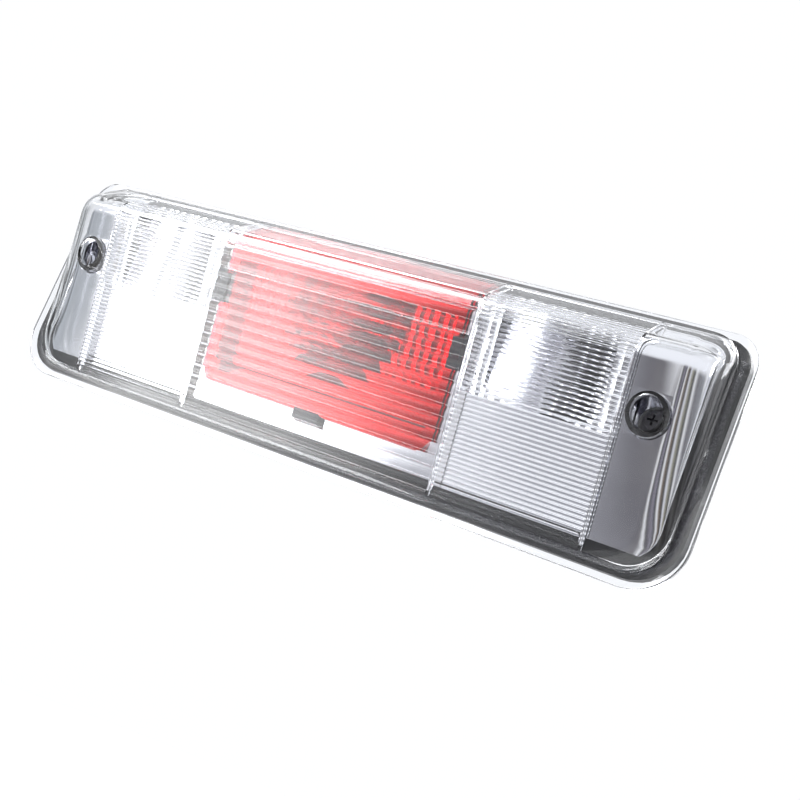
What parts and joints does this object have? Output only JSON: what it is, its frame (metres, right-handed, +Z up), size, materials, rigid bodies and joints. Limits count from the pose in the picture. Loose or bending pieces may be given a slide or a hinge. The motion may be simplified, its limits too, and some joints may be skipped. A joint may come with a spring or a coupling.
{
  "type": "third brake light",
  "caption": "Long, shallow high-mounted brake light: clear fluted lens over a red brake zone, cargo lamps at both sides, bright reflector, black rear housing, twist sockets.",
  "frame": {"origin": "centre of the lamp's outline in the plane of the mounting face, where the gasket seats on the vehicle", "axes": "+X along the lamp, +Y into the vehicle (the lens faces -Y), +Z up"},
  "size_m": [0.392, 0.0709, 0.116],
  "materials": {
    "clear_lens": "polished clear",
    "red_lens": "polished transparent red",
    "bright_coating": "vacuum-metallised, mirror bright",
    "clip_plastic": "satin",
    "sealant": "cured bead",
    "housing_black": "fine moulded texture",
    "foam": "closed-cell foam",
    "rubber_black": "matt",
    "rubber_seal": "matt",
    "bulb_glass": "clear",
    "tungsten": "drawn wire",
    "socket_black": "satin moulded",
    "contact_brass": "bright",
    "screw_black_zinc": "black zinc",
    "washer_black": "black zinc"
  },
  "bodies": {
    "lamp": {"outer_lens": "clear_lens", "lens_sealant": "sealant", "red_filter": "red_lens", "filter_clips": "clip_plastic", "brake_bezel": "bright_coating", "reflector": "bright_coating", "end_bezel_left": "bright_coating", "end_bezel_right": "bright_coating", "rear_housing": "housing_black", "mounting_gasket": "foam", "screw_seals": "foam", "breather_caps": "rubber_black"},
    "brake_socket_unit": {"brake_bulb_glass": "bulb_glass", "brake_bulb_filament": "tungsten", "brake_socket": "socket_black", "brake_socket_seal": "rubber_seal", "brake_socket_contacts": "contact_brass"},
    "left_socket_unit": {"left_bulb_glass": "bulb_glass", "left_bulb_filament": "tungsten", "left_socket": "socket_black", "left_socket_seal": "rubber_seal", "left_socket_contacts": "contact_brass"},
    "right_socket_unit": {"right_bulb_glass": "bulb_glass", "right_bulb_filament": "tungsten", "right_socket": "socket_black", "right_socket_seal": "rubber_seal", "right_socket_contacts": "contact_brass"},
    "left_washer_unit": {"left_screw_washer": "washer_black"},
    "left_screw_unit": {"left_screw": "screw_black_zinc"},
    "right_washer_unit": {"right_screw_washer": "washer_black"},
    "right_screw_unit": {"right_screw": "screw_black_zinc"}
  },
  "joints": [
    {"name": "brake_socket_twist", "type": "hinge", "parent": "lamp", "child": "brake_socket_unit", "pos_m": [0, 0.022, 0.02], "axis": [0, 1, 0], "range_deg": [0, 45]},
    {"name": "left_socket_twist", "type": "hinge", "parent": "lamp", "child": "left_socket_unit", "pos_m": [-0.114, 0.022, 0.02], "axis": [0, 1, 0], "range_deg": [0, 45]},
    {"name": "right_socket_twist", "type": "hinge", "parent": "lamp", "child": "right_socket_unit", "pos_m": [0.114, 0.022, 0.02], "axis": [0, 1, 0], "range_deg": [0, 45]},
    {"name": "left_screw_out", "type": "slide", "parent": "lamp", "child": "left_washer_unit", "axis": [0, -1, 0], "range_m": [0, 0.01]},
    {"name": "left_screw_turn", "type": "hinge", "parent": "left_washer_unit", "child": "left_screw_unit", "pos_m": [-0.164, -0.012, 0.011], "axis": [0, -1, 0], "range_deg": [0, 1800]},
    {"name": "right_screw_out", "type": "slide", "parent": "lamp", "child": "right_washer_unit", "axis": [0, -1, 0], "range_m": [0, 0.01]},
    {"name": "right_screw_turn", "type": "hinge", "parent": "right_washer_unit", "child": "right_screw_unit", "pos_m": [0.164, -0.012, 0.011], "axis": [0, -1, 0], "range_deg": [0, 1800]}
  ],
  "couplings": [
    {"joint": "left_screw_turn", "follows": "left_screw_out", "rad_per_m": 3141},
    {"joint": "right_screw_turn", "follows": "right_screw_out", "rad_per_m": 3141}
  ]
}
